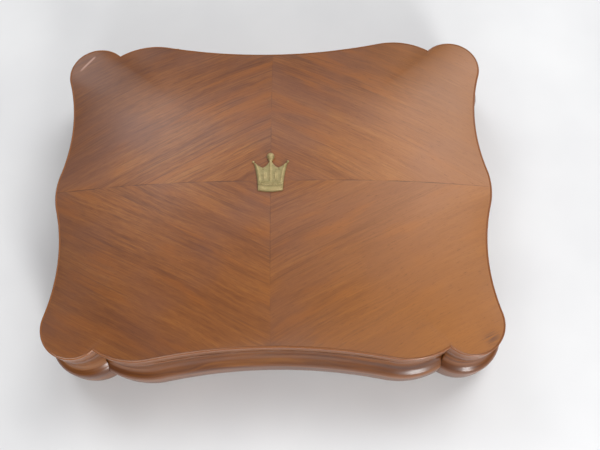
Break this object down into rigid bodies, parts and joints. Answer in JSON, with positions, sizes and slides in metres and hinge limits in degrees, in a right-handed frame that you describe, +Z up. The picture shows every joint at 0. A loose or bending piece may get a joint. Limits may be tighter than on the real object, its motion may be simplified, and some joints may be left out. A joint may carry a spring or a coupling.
{
  "type": "wooden puzzle box",
  "caption": "Low serpentine wooden puzzle box with a domed veneered lid, a crown ornament, a pull-off moulding over the keyhole and a hidden key drawer.",
  "frame": {"origin": "middle of the box on the surface it stands on", "axes": "+X to the right along the width, +Y to the back where the lid hinges are, +Z up; the front is at -Y"},
  "size_m": [0.312, 0.2456, 0.084],
  "materials": {
    "polished_veneer": "satin polished ribbon-striped mahogany",
    "polished_wood": "polished mahogany",
    "inner_wood": "bare softwood",
    "felt": "dark green felt",
    "brass": "aged brass",
    "steel": "plain steel"
  },
  "bodies": {
    "box": {"base_felt": "felt", "base_board": "inner_wood", "base_screws": "steel", "front_wall": "polished_wood", "back_wall": "polished_wood", "left_wall": "polished_wood", "right_wall": "polished_wood", "front_facing": "polished_wood", "back_facing": "polished_wood", "left_facing": "polished_wood", "right_facing": "polished_wood", "left_moulding": "polished_wood", "right_moulding": "polished_wood", "drawer_guides": "inner_wood", "floor_cleats": "inner_wood", "compartment_floor": "inner_wood", "lining_floor": "felt", "lining_front": "felt", "lining_back": "felt", "lining_left": "felt", "lining_right": "felt", "hinge_body_leaves": "brass", "hinge_pins": "brass", "hinge_body_screws": "brass", "lock_case": "brass", "lock_selvedge": "brass", "lock_selvedge_screws": "brass", "keyhole_plate": "brass", "keyhole_pins": "brass"},
    "lid": {"lid_frame": "polished_wood", "lid_dome": "inner_wood", "lid_lipping_front": "polished_wood", "lid_lipping_back": "polished_wood", "lid_lipping_left": "polished_wood", "lid_lipping_right": "polished_wood", "veneer_back_right": "polished_veneer", "veneer_back_left": "polished_veneer", "veneer_front_left": "polished_veneer", "veneer_front_right": "polished_veneer", "lid_lining": "felt", "hinge_lid_leaves": "brass", "hinge_lid_screws": "brass", "lock_plate": "brass", "lock_plate_screws": "brass", "crown": "brass"},
    "front_moulding_piece": {"front_moulding": "polished_wood", "moulding_pegs": "inner_wood"},
    "drawer": {"back_moulding": "polished_wood", "drawer_front": "inner_wood", "drawer_left_side": "inner_wood", "drawer_right_side": "inner_wood", "drawer_end": "inner_wood", "drawer_bottom": "inner_wood", "drawer_lining": "felt", "key": "brass"},
    "bolt": {"lock_bolt": "steel"}
  },
  "joints": [
    {"name": "lid_hinge", "type": "hinge", "parent": "box", "child": "lid", "pos_m": [0, 0.119, 0.0541], "axis": [-1, 0, 0], "range_deg": [0, 95]},
    {"name": "front_moulding_pull", "type": "slide", "parent": "box", "child": "front_moulding_piece", "axis": [0, -1, 0], "range_m": [0, 0.03]},
    {"name": "drawer_slide", "type": "slide", "parent": "box", "child": "drawer", "axis": [0, 1, 0], "range_m": [0, 0.09]},
    {"name": "bolt_slide", "type": "slide", "parent": "box", "child": "bolt", "axis": [1, 0, 0], "range_m": [0, 0.005]}
  ]
}
